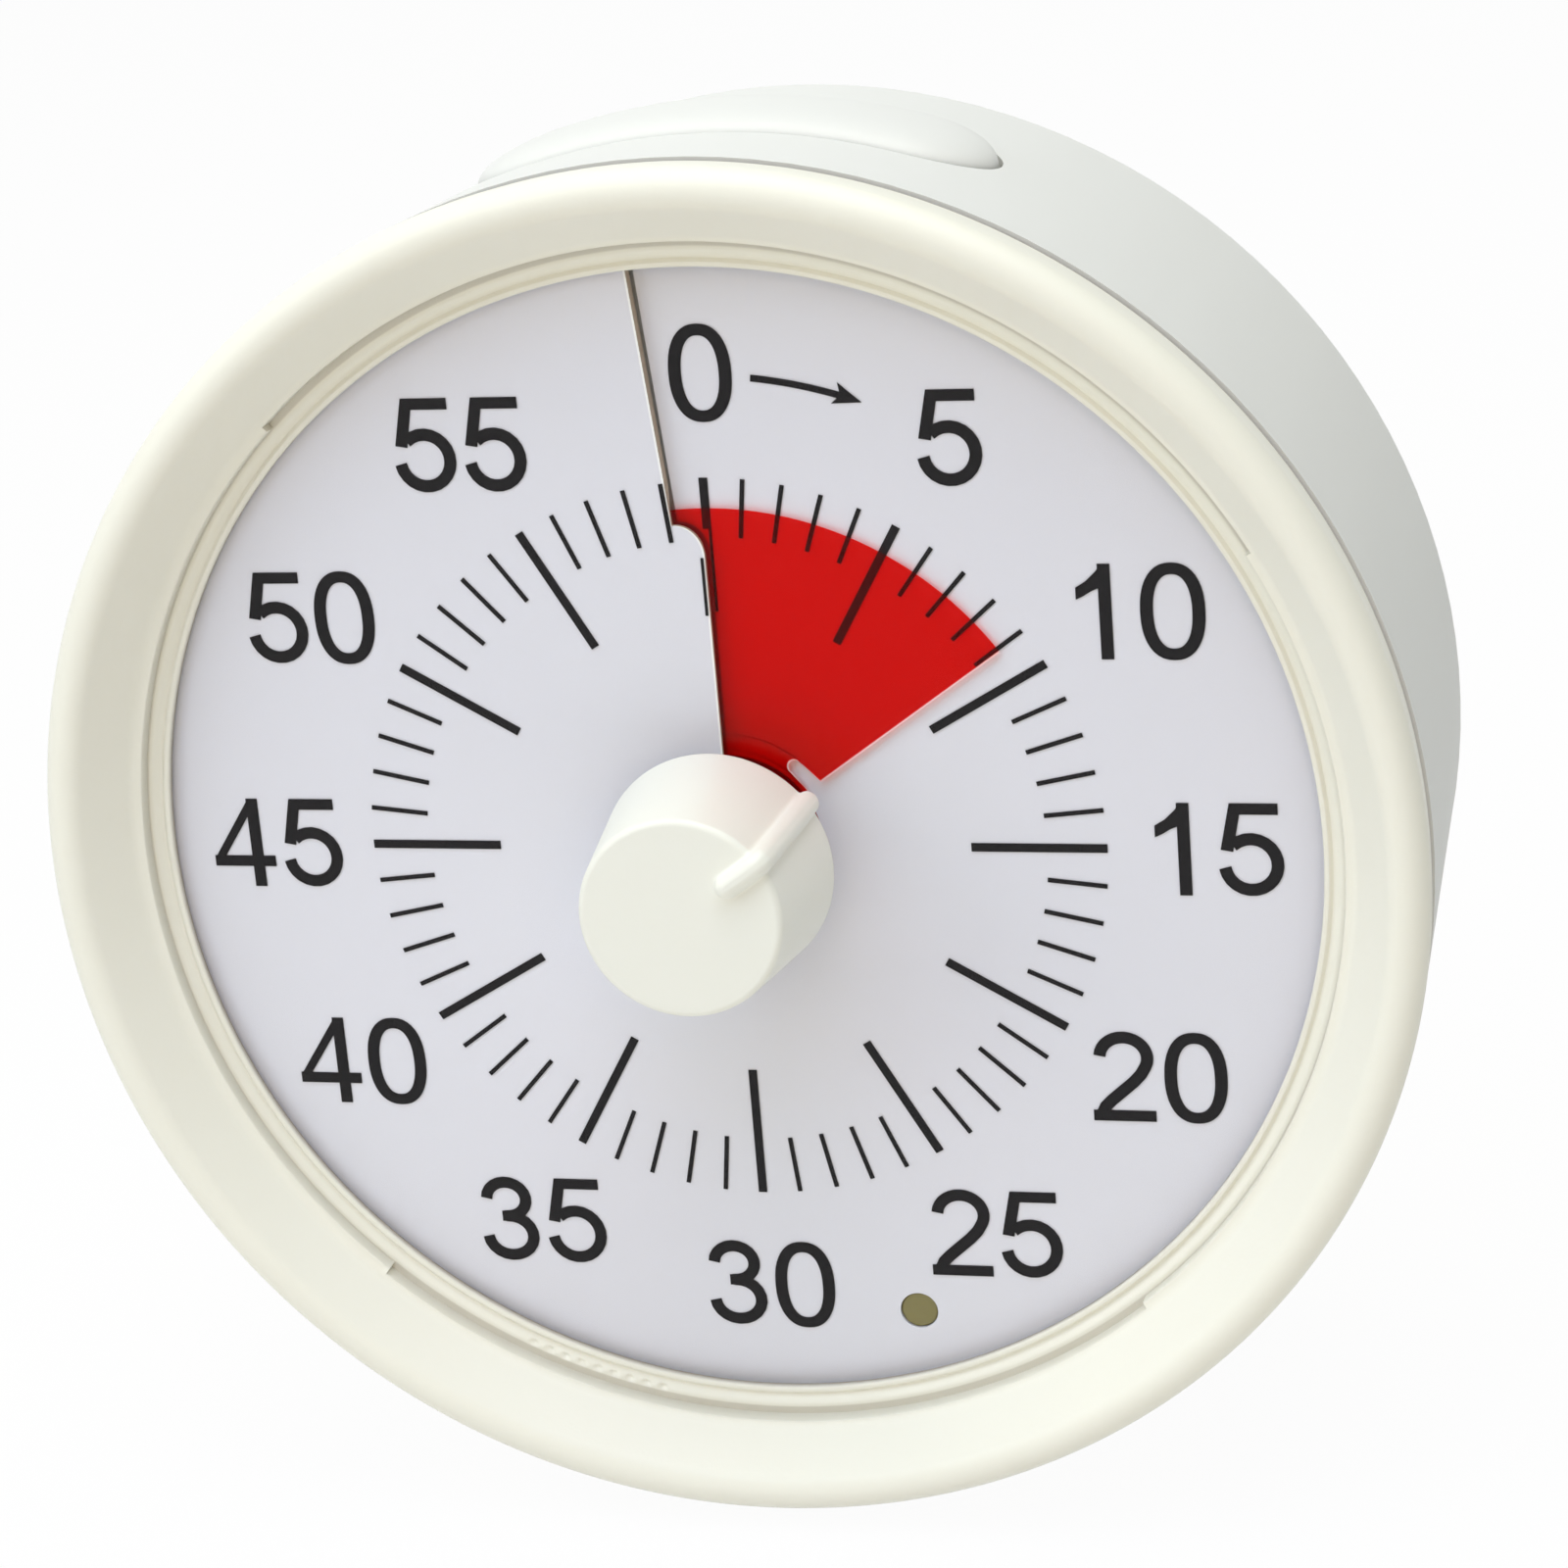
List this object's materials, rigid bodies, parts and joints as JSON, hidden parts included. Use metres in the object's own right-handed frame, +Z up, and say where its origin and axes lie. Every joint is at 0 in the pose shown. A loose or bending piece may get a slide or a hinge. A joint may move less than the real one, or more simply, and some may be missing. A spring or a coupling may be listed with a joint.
{
  "type": "visual countdown timer",
  "caption": "Round desk timer: turn the central knob to draw a red film over the dial; the film shrinks as time runs out. Button on top, battery behind.",
  "frame": {"origin": "middle of the footprint, on the surface that the timer stands on", "axes": "+Z up, -Y towards the viewer of the dial, +X to the viewer's right"},
  "size_m": [0.08, 0.0412, 0.0815],
  "materials": {
    "bezel": "cream, satin gloss",
    "lens": "clear acrylic",
    "housing": "off-white, fine matt",
    "rubber": "matt",
    "dial": "white, satin print stock",
    "ink": "black print",
    "carrier": "light grey, satin",
    "film": "translucent red, gloss",
    "red_plastic": "red, satin",
    "light": "olive, translucent",
    "knob": "warm white, satin gloss",
    "steel": "plain",
    "brass": "plain",
    "copper": "enamelled copper",
    "gear_plastic": "natural, satin",
    "movement_case": "ivory, satin",
    "board": "green laminate",
    "black_plastic": "black, satin",
    "grey_plastic": "grey, satin",
    "battery": "plain, satin",
    "wire_red": "insulation",
    "wire_black": "insulation"
  },
  "bodies": {
    "case": {"front_bezel": "bezel", "lens": "lens", "rear_housing": "housing", "foot_pads": "rubber", "dial": "dial", "dial_marks": "ink", "dial_carrier": "carrier", "signal_light": "light", "button_springs": "steel", "touch_switch": "grey_plastic", "switch_board": "board", "movement_plate": "movement_case", "movement_cover": "movement_case", "centre_bush": "brass", "stator": "steel", "coil": "copper", "alarm_contact": "brass", "circuit_board": "board", "board_components": "black_plastic", "buzzer": "black_plastic", "volume_switch": "grey_plastic", "battery": "battery", "battery_spring": "steel", "battery_plate": "steel", "case_screws": "steel", "movement_screws": "steel", "board_screws": "steel", "light_wires": "wire_red", "battery_wires": "wire_black", "coil_wires": "copper", "switch_wires": "wire_black"},
    "knob": {"knob": "knob", "knob_shaft": "steel", "centre_wheel": "brass", "clutch_spring": "steel", "alarm_cam": "gear_plastic"},
    "film": {"red_film": "film", "film_hub": "red_plastic"},
    "third_wheel": {"third_wheel": "gear_plastic"},
    "second_wheel": {"second_wheel": "gear_plastic"},
    "rotor": {"rotor": "grey_plastic"},
    "start_button": {"top_button": "housing", "switch_plunger": "black_plastic"},
    "volume_slider": {"volume_slider": "housing"},
    "battery_door": {"battery_door": "housing"}
  },
  "joints": [
    {"name": "knob_turn", "type": "hinge", "parent": "case", "child": "knob", "pos_m": [0, -0.0077, 0.0412], "axis": [0, 1, 0], "range_deg": [-54.6, 305.4]},
    {"name": "film_climb", "type": "slide", "parent": "knob", "child": "film", "axis": [0, -1, 0], "range_m": [-0.0001223, 0.0006797]},
    {"name": "third_wheel_turn", "type": "hinge", "parent": "case", "child": "third_wheel", "pos_m": [-0.0076, -0.0017, 0.04888], "axis": [0, 1, 0], "range_deg": [-1527.5, 273.5]},
    {"name": "second_wheel_turn", "type": "hinge", "parent": "case", "child": "second_wheel", "pos_m": [0.00119, -0.0017, 0.05081], "axis": [0, 1, 0], "range_deg": [-1092.5, 6108.5]},
    {"name": "rotor_turn", "type": "hinge", "parent": "case", "child": "rotor", "pos_m": [0.00819, -0.0017, 0.04811], "axis": [0, 1, 0], "range_deg": [-24432.5, 4368.5]},
    {"name": "button_press", "type": "slide", "parent": "case", "child": "start_button", "axis": [0, 0, -1], "range_m": [0, 0.0008], "stiffness_N_per_m": 500, "springref_m": -0.002, "deforming": ["button_springs"]},
    {"name": "volume_slide", "type": "slide", "parent": "case", "child": "volume_slider", "axis": [1, 0, 0], "range_m": [-0.002, 0.002]},
    {"name": "door_lift", "type": "slide", "parent": "case", "child": "battery_door", "axis": [0, 1, 0], "range_m": [0, 0.012]}
  ],
  "couplings": [
    {"joint": "film_climb", "follows": "knob_turn", "m_per_rad": 0.00012732},
    {"joint": "third_wheel_turn", "follows": "knob_turn", "ratio": -5},
    {"joint": "second_wheel_turn", "follows": "knob_turn", "ratio": 20},
    {"joint": "rotor_turn", "follows": "knob_turn", "ratio": -80}
  ]
}
